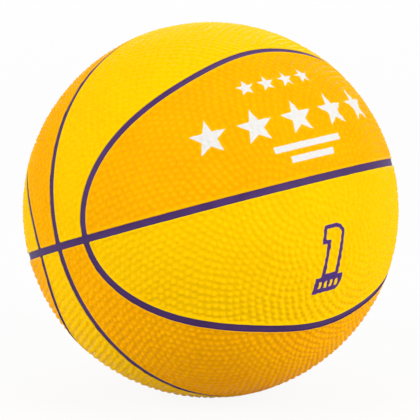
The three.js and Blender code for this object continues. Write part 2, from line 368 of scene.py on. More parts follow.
def side_patch(u, v):
    """Edges blended: (lower to upper) + (front to back) - (corner to corner), set to unit length."""
    def edge(along):
        return direction(along, oval_line(along, PANEL_EDGE))

    def across(along):
        return edge(along) * (1 - u[..., None]) + edge(np.pi - along) * u[..., None]

    start = start_angle(oval_line(0.0, PANEL_EDGE))
    corner = edge(start)
    first_turn = np.arctan2(corner[0], -corner[1])
    turn = first_turn + (np.pi - 2 * first_turn) * u
    flat = np.hypot(corner[0], corner[1])
    lower = np.stack((flat * np.sin(turn), -flat * np.cos(turn), corner[2] + 0 * turn), -1)
    upper = edge(SIDE_PANEL_CORNER + (np.pi - 2 * SIDE_PANEL_CORNER) * u)
    sides = across(start + (SIDE_PANEL_CORNER - start) * v)
    corners = across(start) * (1 - v[..., None]) + across(SIDE_PANEL_CORNER) * v[..., None]
    blend = lower * (1 - v[..., None]) + upper * v[..., None] + sides - corners
    return blend / np.linalg.norm(blend, axis=-1, keepdims=True)


print("Front corner of a side panel:", side_patch(np.zeros(1), np.zeros(1)).round(3))

# %% A panel from a patch
COARSE = 8
EDGE_ROWS = 6
EDGE_MARGIN = 0.9
# Paint reaches this far from the seam's middle. It sags: further below the equator, less above it,
# and not beside the meridian.
PAINT_REACH = 1.24
PAINT_SAG = 0.35
SAG_ABOVE = -0.25
SAG_BELOW = 0.6
SAG_AWAY = 0.25


def edge_graded(count, length):
    """Steps from 0 to 1 that are finer in a margin at both ends."""
    margin = EDGE_MARGIN / length
    rows = (0, EDGE_ROWS, count - EDGE_ROWS, count)
    return np.interp(np.arange(count + 1), rows, (0, margin, 1 - margin, 1))


def panel_mesh(name, patch, u_steps, v_steps, quarter, printed=None):
    """A closed panel: relief on top, a coarse underside, and fans of triangles for the edge walls."""
    u, v = np.meshgrid(u_steps, v_steps)
    points = patch(u, v) * np.array((quarter[0], 1, quarter[1]))
    shape = points.shape[:2]
    top = points.reshape(-1, 3)
    attributes = printed(top) if printed else {}
    radius, groove, seam = panel_relief(top, attributes.get("ink_mm"))
    under = points[::COARSE, ::COARSE].reshape(-1, 3) * COVER_INNER
    placed = in_part(np.concatenate((top * radius[:, None], under)))
    placed[:, 2] = np.maximum(placed[:, 2], 0)
    top_numbers = np.arange(len(top)).reshape(shape)
    under_shape = points[::COARSE, ::COARSE].shape[:2]
    under_numbers = len(top) + np.arange(len(under)).reshape(under_shape)
    fine, coarse = rim(top_numbers), rim(under_numbers)
    nearest = np.arange(len(fine) + COARSE // 2)[COARSE // 2:] // COARSE % len(coarse)
    fans = np.stack((fine, coarse[nearest], np.roll(fine, -1)), -1)
    feet = np.stack((fine[COARSE // 2::COARSE], coarse, np.roll(coarse, -1)), -1)
    blocks = [grid_quads(top_numbers), grid_quads(under_numbers)[:, ::-1], fans, feet]
    sag = np.clip(-top[:, 2], SAG_ABOVE, SAG_BELOW) * np.clip(np.abs(top[:, 0]) / SAG_AWAY, 0, 1)
    paint = PAINT_REACH + PAINT_SAG * sag - seam
    attributes |= {"groove": groove, "paint_mm": paint}
    padded = {key: np.pad(values, (0, len(under))) for key, values in attributes.items()}
    return make_piece(name, placed, blocks, padded)


print("Rows beside a panel's edge:", round(EDGE_MARGIN / EDGE_ROWS, 2), "mm apart")

# %% [markdown]
# ## Materials
#
# Every material starts from what the real one is. One function turns hex colours into linear light,
# and one adds a node with its settings and links.

# %% Material helpers
def linear(hex_colour):
    """sRGB hex to linear RGBA: the power curve 2.4 above a short straight start."""
    values = np.array([int(hex_colour[i:i + 2], 16) for i in (1, 3, 5)]) / 255
    curved = np.where(values <= 0.04045, values / 12.92, ((values + 0.055) / 1.055) ** 2.4)
    return (*curved, 1.0)


def add(tree, kind, inputs=None, **settings):
    """Adds a node. Inputs go by name or number, and are values or (node, output) links."""
    node = tree.nodes.new(kind)
    for key, value in settings.items():
        setattr(node, key, value)
    for key, value in (inputs or {}).items():
        if isinstance(value, tuple) and isinstance(value[0], bpy.types.Node):
            tree.links.new(value[0].outputs[value[1]], node.inputs[key])
        else:
            node.inputs[key].default_value = value
    return node


def new_material(name):
    """An empty node material and its tree."""
    material = bpy.data.materials.new(name)
    material.use_nodes = True
    material.node_tree.nodes.clear()
    return material, material.node_tree


print("Middle grey in linear light:", round(float(linear("#808080")[0]), 3))

# %% [markdown]
# ### Moulded cover rubber
#
# The cover is natural rubber, coloured with dye and vulcanised in a mould: matte and a little uneven in
# tone. Its colour is also darker down in the grooves, which is painted shade. Its gloss is low, so
# that it keeps its colour and only pales towards the rim of the ball. Paint from the channel runs a
# little on to the shoulder, and its edge wanders.

# %% Cover rubber
PURPLE_PAINT = "#40285A"
PER_METRE = 1000.0
DYE_CLOUD = 14.0
PAINT_WAVE = 4.0
PAINT_WANDER = 0.3
MOULD_GRAIN = 0.35
COVER_GLOSS = 0.012


def cover_rubber(name, colour, groove_shade_colour, groove_shade, ink=None):
    """Dyed rubber with painted shade in its grooves, channel paint on its edge, and ink where `ink_mm`
    is positive.
    """
    material, tree = new_material(name)
    place = add(tree, "ShaderNodeTexCoord")
    groove = add(tree, "ShaderNodeAttribute", attribute_name="groove")
    reach = add(tree, "ShaderNodeAttribute", attribute_name="paint_mm")
    # Uneven dye, in clouds about 14 mm wide.
    clouds = add(tree, "ShaderNodeTexNoise", {
        "Vector": (place, "Object"), "Scale": PER_METRE / DYE_CLOUD, "Detail": 3.0})
    tone = add(tree, "ShaderNodeMapRange", {
        "Value": (clouds, 0), "From Min": 0.3, "From Max": 0.7, "To Min": 0.0, "To Max": 0.16})
    # Painted shade: deeper in a groove the colour turns towards the darker groove colour, on top of the
    # uneven dye.
    depth = add(tree, "ShaderNodeMath", {
        0: (groove, "Fac"), 1: groove_shade, 2: (tone, 0)}, operation="MULTIPLY_ADD")
    dye_and_shade = add(tree, "ShaderNodeMix", {
        0: (depth, 0), 6: linear(colour), 7: linear(groove_shade_colour)}, data_type="RGBA")
    # The paint's edge wanders by about 0.1 mm in waves of about 4 mm.
    waves = add(tree, "ShaderNodeTexNoise", {
        "Vector": (place, "Object"), "Scale": PER_METRE / PAINT_WAVE, "Detail": 4.0})
    wander = add(tree, "ShaderNodeMath", {
        0: (waves, 0), 1: PAINT_WANDER, 2: (reach, "Fac")}, operation="MULTIPLY_ADD")
    paint = add(tree, "ShaderNodeMapRange", {
        "Value": (wander, 0), "From Min": 0.11, "From Max": 0.19, "To Min": 0.0, "To Max": 1.0})
    colour_node = add(tree, "ShaderNodeMix", {
        0: (paint, 0), 6: (dye_and_shade, 2), 7: linear(PURPLE_PAINT)}, data_type="RGBA")
    if ink:
        colour_node = ink_over(tree, place, groove, colour_node, ink)
    # Fine grain of the mould, about 0.35 mm, drawn that coarse so that it shows.
    grain = add(tree, "ShaderNodeTexNoise", {
        "Vector": (place, "Object"), "Scale": PER_METRE / MOULD_GRAIN, "Detail": 2.0})
    bump = add(tree, "ShaderNodeBump", {"Strength": 0.25, "Distance": 0.03 * MM, "Height": (grain, 0)})
    rough = add(tree, "ShaderNodeMapRange", {
        "Value": (clouds, 0), "From Min": 0.3, "From Max": 0.7, "To Min": 0.25, "To Max": 0.32})
    shader = add(tree, "ShaderNodeBsdfPrincipled", {
        "Base Color": (colour_node, 2), "Roughness": (rough, 0), "Normal": (bump, 0),
        "Specular IOR Level": COVER_GLOSS})
    add(tree, "ShaderNodeOutputMaterial", {"Surface": (shader, 0)})
    return material


# %% Ink over the rubber
INK_GRAIN = 1.5
INK_WANDER = 0.18
INK_SHORT = 0.08


def ink_over(tree, place, groove, below, ink):
    """Screen ink that covers the pebble tops fully, and stops a little short in the grooves."""
    shape = add(tree, "ShaderNodeAttribute", attribute_name="ink_mm")
    reach = add(tree, "ShaderNodeMath", {
        0: (groove, "Fac"), 1: -INK_SHORT, 2: (shape, "Fac")}, operation="MULTIPLY_ADD")
    # The ink's edge wanders by about 0.1 mm at a scale of 1.5 mm.
    rough = add(tree, "ShaderNodeTexNoise", {
        "Vector": (place, "Object"), "Scale": PER_METRE / INK_GRAIN, "Detail": 3.0})
    edge = add(tree, "ShaderNodeMath", {
        0: (rough, 0), 1: INK_WANDER, 2: (reach, 0)}, operation="MULTIPLY_ADD")
    cover = add(tree, "ShaderNodeMapRange", {
        "Value": (edge, 0), "From Min": -0.07, "From Max": 0.15, "To Min": 0.0, "To Max": 0.97})
    return add(tree, "ShaderNodeMix", {0: (cover, 0), 6: (below, 2), 7: linear(ink)}, data_type="RGBA")


# %% Cover finishes
# Each dye: its colour, the darker colour of the shade painted in its grooves, and how much of that shade
# shows down in a groove.
YELLOW = ("#FCCB00", "#E0A200", 0.12)
ORANGE = ("#FDB800", "#E08600", 0.25)
WHITE_INK = "#DEDEDC"
PURPLE_INK = "#412678"
yellow_rubber = cover_rubber("yellow_moulded_rubber", *YELLOW)
orange_rubber = cover_rubber("orange_moulded_rubber", *ORANGE)
yellow_inked = cover_rubber("yellow_moulded_rubber_with_purple_ink", *YELLOW, PURPLE_INK)
orange_inked = cover_rubber("orange_moulded_rubber_with_white_ink", *ORANGE, WHITE_INK)
print("Cover materials:", yellow_rubber.name, orange_rubber.name, yellow_inked.name, orange_inked.name)

# %% [markdown]
# ## Printed marks
#
# The upper panel carries a row of plain stars between small stars and bars in white ink, and the
# lower one a plain numeral over a bar in purple. Each outline is a short polygon, laid on the panel
# along the parallels. What is stored is the signed distance to the outline, so that the edge stays
# sharp between vertices.

# %% Outlines in millimetres
STAR_INNER_SHARE = 0.42


def outline_distance(x, y, corners):
    """Signed distance to a polygon, positive inside: least distance to an edge, sign by crossings."""
    least = np.full(x.shape, np.inf)
    inside = np.zeros(x.shape, bool)
    for (ax, ay), (bx, by) in zip(corners, corners[1:] + corners[:1]):
        ex, ey = bx - ax, by - ay
        t = np.clip(((x - ax) * ex + (y - ay) * ey) / (ex * ex + ey * ey), 0, 1)
        least = np.minimum(least, np.hypot(x - ax - t * ex, y - ay - t * ey))
        if ey:
            inside ^= ((ay > y) != (by > y)) & (x < ax + (y - ay) * ex / ey)
    return np.where(inside, least, -least)


def star(radius):
    """Ten corners, alternately on the outer and the inner circle, with a point at the top."""
    turns = np.pi / 2 + np.pi / 5 * np.arange(10)
    reach = radius * np.where(np.arange(10) % 2, STAR_INNER_SHARE, 1)
    return list(zip(reach * np.cos(turns), reach * np.sin(turns)))


def bar(width, height, lean=0.0):
    """A bar about its middle, whose top is shifted by lean."""
    half, rise = width / 2, height / 2
    return [(-half - lean, -rise), (half - lean, -rise), (half + lean, rise), (-half + lean, rise)]


def inset(corners, depth):
    """The outline drawn inwards: each corner moves along the sum of its two edges' inward normals."""
    points = np.array(corners)
    ways = np.roll(points, -1, 0) - points
    ways /= np.linalg.norm(ways, axis=1, keepdims=True)
    inward = np.stack((-ways[:, 1], ways[:, 0]), -1)
    before = np.roll(inward, 1, 0)
    moved = points + (inward + before) * depth / (1 + np.sum(inward * before, 1, keepdims=True))
    return moved.tolist()


middle = np.zeros(1)
print("From a unit star's middle to its outline:", outline_distance(middle, middle, star(1)).round(2))

# %% The marks
STAR_RADIUS = 6.6
STAR_PITCH = 16.6
SMALL_STAR_RADIUS = 3.3
SMALL_STAR_PITCH = 8.2
# Heights are distances above the equator, over the surface.
NUMERAL_HEIGHT = -25.0
DASH_HEIGHT = -36.7
DASH_PITCH = 2.3
DASH_SHIFT = -0.7
STAR_HEIGHT = 22.0
SMALL_STAR_HEIGHT = 37.3
BAR_HEIGHTS = (12.3, 8.0)
BAR_LENGTHS = (28.0, 18.0)
BAR_THICKNESS = 2.2
FOUR_PLACES = (-1.5, -0.5, 0.5, 1.5)
FIVE_PLACES = (-2, -1, 0, 1, 2)
NUMERAL = [(-3.9, -9.2), (3.1, -9.2), (6.0, 3.5), (6.5, 5.5), (6.2, 6.7), (5.1, 8.2), (3.2, 9.0),
           (-2.1, 9.0), (-3.5, 2.8), (-1.3, 2.6)]
NUMERAL_BASE = [(-7.1, -14.5), (2.9, -14.5), (4.6, -12.7), (5.4, -11.2), (5.6, -8.8), (-6.0, -8.8)]
DASH = bar(1.1, 2.4, 0.25)
DASHES = [(DASH_PITCH * i + DASH_SHIFT, DASH_HEIGHT, DASH) for i in FOUR_PLACES]
LARGE_STARS = [(STAR_PITCH * i, STAR_HEIGHT, star(STAR_RADIUS)) for i in FIVE_PLACES]
SMALL_STARS = [(SMALL_STAR_PITCH * i, SMALL_STAR_HEIGHT, star(SMALL_STAR_RADIUS)) for i in FOUR_PLACES]
BARS = [(0.0, height, bar(length, BAR_THICKNESS)) for height, length in zip(BAR_HEIGHTS, BAR_LENGTHS)]
print("Marks:", len(LARGE_STARS + SMALL_STARS), "stars,", len(BARS), "bars,", len(DASHES), "dashes")

# %% Ink on a panel
NUMERAL_STROKE = 1.35
INK_LIMIT = 2.0


def ink_distance(points, marks, stroke=None):
    """Greatest signed distance over the marks, each on its own parallel; a stroke hollows them out."""
    latitude = np.arcsin(np.clip(points[:, 2], -1, 1))
    longitude = np.arctan2(points[:, 1], points[:, 0])
    ink = np.full(len(points), -INK_LIMIT)
    for middle, height, corners in marks:
        angle = longitude - middle / (BALL_RADIUS * np.cos(height / BALL_RADIUS))
        x = BALL_RADIUS * np.cos(latitude) * angle
        y = BALL_RADIUS * latitude - height
        distance = outline_distance(x, y, corners)
        if stroke:
            distance = np.minimum(distance, -outline_distance(x, y, inset(corners, stroke)))
        ink = np.maximum(ink, distance)
    return np.clip(ink, -INK_LIMIT, INK_LIMIT)


def star_print(points):
    """The white motif of the upper panel."""
    return {"ink_mm": ink_distance(points, LARGE_STARS + SMALL_STARS + BARS)}


def numeral_print(points):
    """The purple numeral, drawn as an outline, and its solid base with dashes left open in it."""
    numeral = ink_distance(points, [(0.0, NUMERAL_HEIGHT, NUMERAL)], NUMERAL_STROKE)
    base = ink_distance(points, [(0.0, NUMERAL_HEIGHT, NUMERAL_BASE)])
    return {"ink_mm": np.minimum(np.maximum(numeral, base), -ink_distance(points, DASHES))}


print("Ink is stored up to", INK_LIMIT, "mm to either side of an outline")

# %% [markdown]
# ## The eight panels
#
# Side panels and band panels take turns in yellow and orange, like a chequerboard. One patch of each
# kind is enough: the signs of X and Z mirror it into the other quarters, and the mesh helper turns
# the faces outwards again.

# %% Make the panels
SIDE_GRID = (520, 168)
BAND_GRID = (136, 640)
SIDE_LENGTHS = (150.0, 50.0)
BAND_LENGTHS = (46.0, 200.0)

side_steps = [edge_graded(count, length) for count, length in zip(SIDE_GRID, SIDE_LENGTHS)]
band_steps = [edge_graded(count, length) for count, length in zip(BAND_GRID, BAND_LENGTHS)]
PRINTS = {
    "right_upper_side": (star_print, orange_inked),
    "right_lower_side": (numeral_print, yellow_inked),
}


def dress(piece, material, node, body="ball"):
    """Gives a finished piece its material and its body, and hides the imported part that it replaces."""
    piece.data.materials.append(material)
    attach(piece, body)
    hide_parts(node)
    return piece


panels = {}
for side, side_name in ((1, "right"), (-1, "left")):
    for level, level_name in ((1, "upper"), (-1, "lower")):
        for kind, patch, steps in (("side", side_patch, side_steps), ("band", band_patch, band_steps)):
            key = f"{side_name}_{level_name}_{kind}"
            orange = (side == level) == (kind == "side")
            printed, material = PRINTS.get(key, (None, orange_rubber if orange else yellow_rubber))
            panel = panel_mesh(f"{key}_pebbled_cover", patch, *steps, (side, level), printed)
            panels[key] = dress(panel, material, f"{key}_panel")

# %% [markdown]
# ## Seam strips
#
# A strip is a section carried along its seam: a shallow trough of paint between the panels, flat
# underneath. The section is a list of offsets across the seam and radii, so the same function makes
# the equator, which closes on itself, and the lines that run over the top.

# %% Strip section
SEAM_RECESS = 0.42
SEAM_DISH = 0.08
STRIP_POINTS = 15

across = np.linspace(-0.5, 0.5, STRIP_POINTS) * SEAM_WIDTH
trough = BALL_RADIUS - SEAM_RECESS - SEAM_DISH * (1 - (2 * across / SEAM_WIDTH) ** 2)
SECTION_OFFSETS = np.concatenate((across, (across[-1], across[0])))
SECTION_RADII = np.concatenate((trough, (COVER_INNER, COVER_INNER)))
print("Strip:", len(SECTION_OFFSETS), "points,", round(trough.min() - COVER_INNER, 2), "mm thick")

# %% Strips along the seams
STRIP_STATIONS = 480


def strip_mesh(name, directions_at, quarter=(1, 1), looped=False):
    """The section carried along a seam, closed by end faces unless it loops."""
    stations = np.linspace(0, 1, STRIP_STATIONS + 1)[:, None]
    if looped:
        stations = stations[:-1]
    points = directions_at(SECTION_OFFSETS[None, :], stations) * SECTION_RADII[None, :, None]
    points = in_part(points.reshape(-1, 3) * np.array((quarter[0], 1, quarter[1])))
    numbers = np.arange(len(points)).reshape(len(stations), -1)
    ringed = np.concatenate((numbers, numbers[:, :1]), 1)
    if looped:
        ringed = np.concatenate((ringed, ringed[:1]))
        blocks = [grid_quads(ringed)]
    else:
        blocks = [grid_quads(ringed), numbers[:1, ::-1], numbers[-1:]]
    return make_piece(name, points, blocks)


def equator_directions(offset, station):
    """Once round, with offsets measured down from the equator."""
    turn = 2 * np.pi * station + 0 * offset
    height = -offset / BALL_RADIUS + 0 * station
    return np.stack((np.sin(turn) * np.cos(height), -np.cos(turn) * np.cos(height), np.sin(height)), -1)


def meridian_directions(offset, station):
    """Over the top along the meridian."""
    return over_the_top(lambda off, along: off + 0 * along, offset, station)


def oval_directions(offset, station):
    """Over the top along the oval."""
    return over_the_top(lambda off, along: oval_line(along, off), offset, station)


print("Sections along the meridian:", round(np.pi * BALL_RADIUS / STRIP_STATIONS, 2), "mm apart")

# %% [markdown]
# ### Channel paint
#
# Matte paint lies in the channels. One even purple would look printed, so it is thinner in patches
# and keeps the grain of a brush.

# %% Channel paint
THIN_PAINT = "#4A3068"
PAINT_PATCH = 6.0
BRUSH_GRAIN = 0.5
PAINT_GLOSS = 0.12


def channel_paint():
    """Matte paint brushed into the channel: purple, a little streaky, thinner in patches."""
    material, tree = new_material("purple_channel_paint")
    place = add(tree, "ShaderNodeTexCoord")
    # Patches of thin paint, about 6 mm long.
    patches = add(tree, "ShaderNodeTexNoise", {
        "Vector": (place, "Object"), "Scale": PER_METRE / PAINT_PATCH, "Detail": 4.0})
    thin = add(tree, "ShaderNodeMapRange", {
        "Value": (patches, 0), "From Min": 0.35, "From Max": 0.7, "To Min": 0.0, "To Max": 1.0})
    paint = add(tree, "ShaderNodeMix", {
        0: (thin, 0), 6: linear(PURPLE_PAINT), 7: linear(THIN_PAINT)}, data_type="RGBA")
    # Brush grain, about 0.5 mm.
    grain = add(tree, "ShaderNodeTexNoise", {
        "Vector": (place, "Object"), "Scale": PER_METRE / BRUSH_GRAIN, "Detail": 2.0})
    bump = add(tree, "ShaderNodeBump", {"Strength": 0.3, "Distance": 0.04 * MM, "Height": (grain, 0)})
    rough = add(tree, "ShaderNodeMapRange", {
        "Value": (patches, 0), "From Min": 0.3, "From Max": 0.7, "To Min": 0.45, "To Max": 0.6})
    shader = add(tree, "ShaderNodeBsdfPrincipled", {
        "Base Color": (paint, 2), "Roughness": (rough, 0), "Normal": (bump, 0),
        "Specular IOR Level": PAINT_GLOSS})
    add(tree, "ShaderNodeOutputMaterial", {"Surface": (shader, 0)})
    return material


purple_paint = channel_paint()
print("Seam material:", purple_paint.name)

# %% Make the strips
equator = strip_mesh("equator_channel", equator_directions, looped=True)
dress(equator, purple_paint, "equator_seam")
for level, level_name in ((1, "upper"), (-1, "lower")):
    meridian = strip_mesh(f"meridian_channel_{level_name}", meridian_directions, (1, level))
    dress(meridian, purple_paint, f"meridian_seam_{level_name}")
    for side, side_name in ((1, "right"), (-1, "left")):
        line = strip_mesh(f"{side_name}_oval_channel_{level_name}", oval_directions, (side, level))
        dress(line, purple_paint, f"{side_name}_oval_seam_{level_name}")

# %% [markdown]
# ## The valve
#
# A rubber boot is moulded into the bladder and reaches up through every layer to a hole in the cover.
# A softer plug, the core, sits in it and takes the pump's needle. Both are turned about the valve's
# axis, so each is a profile of (distance from the axis, height along it). Corners of moulded rubber
# are never sharp, so the profile's corners are eased first.

# %% Turned pieces
CORNER_POINTS = 5

VALVE_FRAME = np.array(((0.0, 1.0, 0.0), np.cross(valve_axis, (0.0, 1.0, 0.0)), valve_axis))


def eased(profile, ease_length):
    """Each inner corner becomes a parabola from a little before it to a little after it."""
    middle = profile[1:-1]
    before, after = profile[:-2] - middle, profile[2:] - middle
    lengths = [np.linalg.norm(step, axis=1, keepdims=True) for step in (before, after)]
    limits = [np.minimum(ease_length, length / 2) for length in lengths]
    start = before / lengths[0] * limits[0]
    end = after / lengths[1] * limits[1]
    t = np.linspace(0, 1, CORNER_POINTS)[None, :, None]
    curve = middle[:, None] + start[:, None] * (1 - t) ** 2 + end[:, None] * t**2
    return np.concatenate((profile[:1], curve.reshape(-1, 2), profile[-1:]))


def turned(name, profile, segments, relief=None):
    """The profile carried once round the valve's axis.

    A profile that starts and ends on the axis is closed there by fans, and any other closes on itself.
    `relief` gives the radial height to add at each point's direction from the ball's centre.
    """
    on_axis = profile[0, 0] == 0
    rings = profile[1:-1] if on_axis else profile[:-1]
    turn = 2 * np.pi * np.arange(segments) / segments
    radius, height = rings[:, :1], rings[:, 1:]
    points = np.stack((radius * np.cos(turn), radius * np.sin(turn), height + 0 * turn), -1)
    points = points.reshape(-1, 3)
    numbers = np.arange(len(points)).reshape(len(rings), segments)
    round_about = np.concatenate((numbers, numbers[:, :1]), 1)
    if on_axis:
        poles = np.array(((0.0, 0.0, profile[0, 1]), (0.0, 0.0, profile[-1, 1])))
        first, last = (np.full(segments, len(points) + end) for end in (0, 1))
        points = np.concatenate((points, poles))
        fans = [np.stack((round_about[0, 1:], round_about[0, :-1], first), -1),
                np.stack((round_about[-1, :-1], round_about[-1, 1:], last), -1)]
        blocks = [grid_quads(round_about), np.concatenate(fans)]
    else:
        blocks = [grid_quads(np.concatenate((round_about, round_about[:1])))]
    if relief:
        distance = np.linalg.norm(points, axis=1, keepdims=True)
        points = points * (1 + relief(points / distance, distance) / distance)
    return make_piece(name, in_part(points @ VALVE_FRAME), blocks)


print("Valve axis in the ball's frame:", valve_axis.round(3))

# %% Boot and core profiles
CORE_RADIUS = 2.4
CORE_TAPER = 0.4
CORE_BOTTOM = 51.6
CORE_FLOOR = 3.0
NEEDLE_HOLE_RADIUS = 0.6
FUNNEL_RADIUS = 1.2
FUNNEL_DEPTH = 3.0
VALVE_RECESS = 0.4
VALVE_TOP = BALL_RADIUS - VALVE_RECESS
BORE_RADIUS = CORE_RADIUS + CLEARANCE
BOOT_RADIUS = 4.2
BOOT_BOTTOM = 50.4
BORE_MIDDLE = 57.0
FLANGE_RADIUS = 12.2
FLANGE_THICKNESS = 1.2
FLANGE_TOP = 59.3
FLANGE_POINTS = 9

flange_reach = np.linspace(BOOT_RADIUS, FLANGE_RADIUS, FLANGE_POINTS)
flange_dome = np.stack((flange_reach, np.sqrt(FLANGE_TOP**2 - flange_reach**2)), -1)
flange_under = flange_dome[-1, 1] - FLANGE_THICKNESS
boot_start = np.array(((BORE_RADIUS, BORE_MIDDLE),))
boot_profile = np.concatenate((
    boot_start, ((BORE_RADIUS, VALVE_TOP), (BOOT_RADIUS, VALVE_TOP)), flange_dome,
    ((FLANGE_RADIUS, flange_under), (BOOT_RADIUS, flange_under),
     (BOOT_RADIUS, BOOT_BOTTOM), (BORE_RADIUS, BOOT_BOTTOM)), boot_start))
core_profile = np.array((
    (0.0, CORE_BOTTOM), (CORE_RADIUS - CORE_TAPER, CORE_BOTTOM), (CORE_RADIUS, VALVE_TOP - FUNNEL_DEPTH),
    (CORE_RADIUS, VALVE_TOP), (FUNNEL_RADIUS, VALVE_TOP), (NEEDLE_HOLE_RADIUS, VALVE_TOP - FUNNEL_DEPTH),
    (NEEDLE_HOLE_RADIUS, CORE_BOTTOM + CORE_FLOOR), (0.0, CORE_BOTTOM + CORE_FLOOR)))
print("Boot profile:", len(boot_profile), "corners; core profile:", len(core_profile), "corners")

# %% [markdown]
# ### Plain rubbers
#
# The hidden pieces are black and grey rubbers. Moulded rubber is never one flat tone: it has a bloom
# of paler dust, a fine grain from the mould, and a gloss that comes and goes with both.

# %% Plain rubber
RUBBER_GRAIN = 0.4
DULLED = 0.15


def plain_rubber(name, colour, bloom_colour, bloom_mm, roughness, gloss):
    """Moulded rubber with a paler bloom in patches, and a grain of 0.4 mm."""
    material, tree = new_material(name)
    place = add(tree, "ShaderNodeTexCoord")
    patches = add(tree, "ShaderNodeTexNoise", {
        "Vector": (place, "Object"), "Scale": PER_METRE / bloom_mm, "Detail": 5.0})
    bloom = add(tree, "ShaderNodeMapRange", {
        "Value": (patches, 0), "From Min": 0.4, "From Max": 0.75, "To Min": 0.0, "To Max": 1.0})
    tone = add(tree, "ShaderNodeMix", {
        0: (bloom, 0), 6: linear(colour), 7: linear(bloom_colour)}, data_type="RGBA")
    rough = add(tree, "ShaderNodeMapRange", {
        "Value": (patches, 0), "From Min": 0.3, "From Max": 0.7,
        "To Min": roughness, "To Max": roughness + DULLED})
    grain = add(tree, "ShaderNodeTexNoise", {
        "Vector": (place, "Object"), "Scale": PER_METRE / RUBBER_GRAIN, "Detail": 2.0})
    bump = add(tree, "ShaderNodeBump", {"Strength": 0.25, "Distance": 0.03 * MM, "Height": (grain, 0)})
    shader = add(tree, "ShaderNodeBsdfPrincipled", {
        "Base Color": (tone, 2), "Roughness": (rough, 0), "Normal": (bump, 0),
        "Specular IOR Level": gloss})
    add(tree, "ShaderNodeOutputMaterial", {"Surface": (shader, 0)})
    return material


valve_rubber = plain_rubber("black_valve_rubber", "#2B2B2D", "#3A3A3C", 2.5, 0.45, 0.4)
carcass_rubber = plain_rubber("grey_carcass_rubber", "#3A3836", "#4A4845", 9.0, 0.7, 0.25)
butyl_rubber = plain_rubber("black_butyl_rubber", "#1D1D1F", "#2A2A2D", 12.0, 0.4, 0.45)
print("Plain rubbers:", valve_rubber.name, carcass_rubber.name, butyl_rubber.name)

# %% Make the valve
VALVE_SEGMENTS = 96
CORNER_EASE = 0.25

boot = turned("valve_boot", eased(boot_profile, CORNER_EASE), VALVE_SEGMENTS)
dress(boot, valve_rubber, "valve_housing")
core = turned("valve_plug", eased(core_profile, CORNER_EASE), VALVE_SEGMENTS)
dress(core, valve_rubber, "valve_core", "core")

# %% [markdown]
# ### The hole in the cover
#
# The panel over the valve has a round hole, which would break the rows of its grid. A boolean cuts
# it instead, and the result becomes the panel's mesh, with no modifier or cutter left behind.

# %% Cut the valve's hole
HOLE_BOTTOM = 60.0
HOLE_TOP = 70.0

hole_profile = np.array((
    (0, HOLE_BOTTOM), (VALVE_HOLE_RADIUS, HOLE_BOTTOM), (VALVE_HOLE_RADIUS, HOLE_TOP), (0, HOLE_TOP)))
cutter = turned("valve_hole_cutter", hole_profile, VALVE_SEGMENTS)
valve_panel = panels["left_upper_side"]
cut = valve_panel.modifiers.new("valve_hole", "BOOLEAN")
cut.object = cutter
cut.solver = "EXACT"
whole = valve_panel.data
seen_panel = valve_panel.evaluated_get(bpy.context.evaluated_depsgraph_get())
valve_panel.data = bpy.data.meshes.new_from_object(seen_panel)
valve_panel.modifiers.clear()
bpy.data.meshes.remove(whole)
bpy.data.objects.remove(cutter)
print("Valve panel:", len(valve_panel.data.polygons), "faces after the hole is cut")

# %% [markdown]
# ## Layers under the cover
#
# The carcass is moulded in two halves over a bladder that has been wound with nylon thread. Each is
# a shell turned about the valve's axis, with the valve's hole at its top. The thread is a relief of
# ridges that follow great circles in many directions, the highest of which shows.

# %% Shell profiles
CARCASS_THICKNESS = 1.1
WINDING_THICKNESS = 0.6
BLADDER_THICKNESS = 1.2
CARCASS_OUTER = COVER_INNER - CLEARANCE
CARCASS_INNER = CARCASS_OUTER - CARCASS_THICKNESS
WINDING_OUTER = CARCASS_INNER - CLEARANCE
WINDING_INNER = WINDING_OUTER - WINDING_THICKNESS
BLADDER_OUTER = WINDING_INNER - CLEARANCE
BLADDER_INNER = BLADDER_OUTER - BLADDER_THICKNESS
LAYER_SEGMENTS = 192
ARC_POINTS = 97
SPLIT_GAP = CLEARANCE / 2


def arc(radius, start, end):
    """Points on a circle about the ball's centre, by their angle from the valve's axis."""
    angle = np.linspace(start, end, ARC_POINTS)
    return radius * np.stack((np.sin(angle), np.cos(angle)), -1)


def hole_angle(radius):
    """Angle at which a sphere of this radius meets the valve's hole."""
    return np.arcsin(VALVE_HOLE_RADIUS / radius)


def split_angle(radius, way):
    """Angle of the carcass's parting line, half a gap to either side."""
    return np.arccos(way * SPLIT_GAP / radius)


def on_the_axis(profile):
    """The same profile with its first and last point exactly on the axis."""
    profile[[0, -1], 0] = 0
    return profile


def shell_profile(outer, inner):
    """From the far pole up the outside to the hole, and back down the inside."""
    outside = arc(outer, np.pi, hole_angle(outer))
    inside = arc(inner, hole_angle(inner), np.pi)
    return on_the_axis(np.concatenate((outside, inside)))


valve_half_profile = np.concatenate((
    arc(CARCASS_OUTER, hole_angle(CARCASS_OUTER), split_angle(CARCASS_OUTER, 1)),
    arc(CARCASS_INNER, split_angle(CARCASS_INNER, 1), hole_angle(CARCASS_INNER)),
    arc(CARCASS_OUTER, hole_angle(CARCASS_OUTER), 0)[:1]))
closed_half_profile = on_the_axis(np.concatenate((
    arc(CARCASS_OUTER, np.pi, split_angle(CARCASS_OUTER, -1)),
    arc(CARCASS_INNER, split_angle(CARCASS_INNER, -1), np.pi))))
print("Layers reach from", round(BLADDER_INNER, 1), "to", round(CARCASS_OUTER, 1), "mm from the centre")

# %% Thread relief
THREAD_BUNDLES = 9
BUNDLE_WIDTH = 7.0
THREAD_HEIGHT = 0.15


def winding_axes():
    """Axes of the windings, spread by golden turns."""
    index = np.arange(THREAD_BUNDLES)
    height = (index + 0.5) / THREAD_BUNDLES
    turn = 2 * np.pi * index / GOLDEN
    flat = np.sqrt(1 - height**2)
    return np.stack((flat * np.cos(turn), flat * np.sin(turn), height), -1)


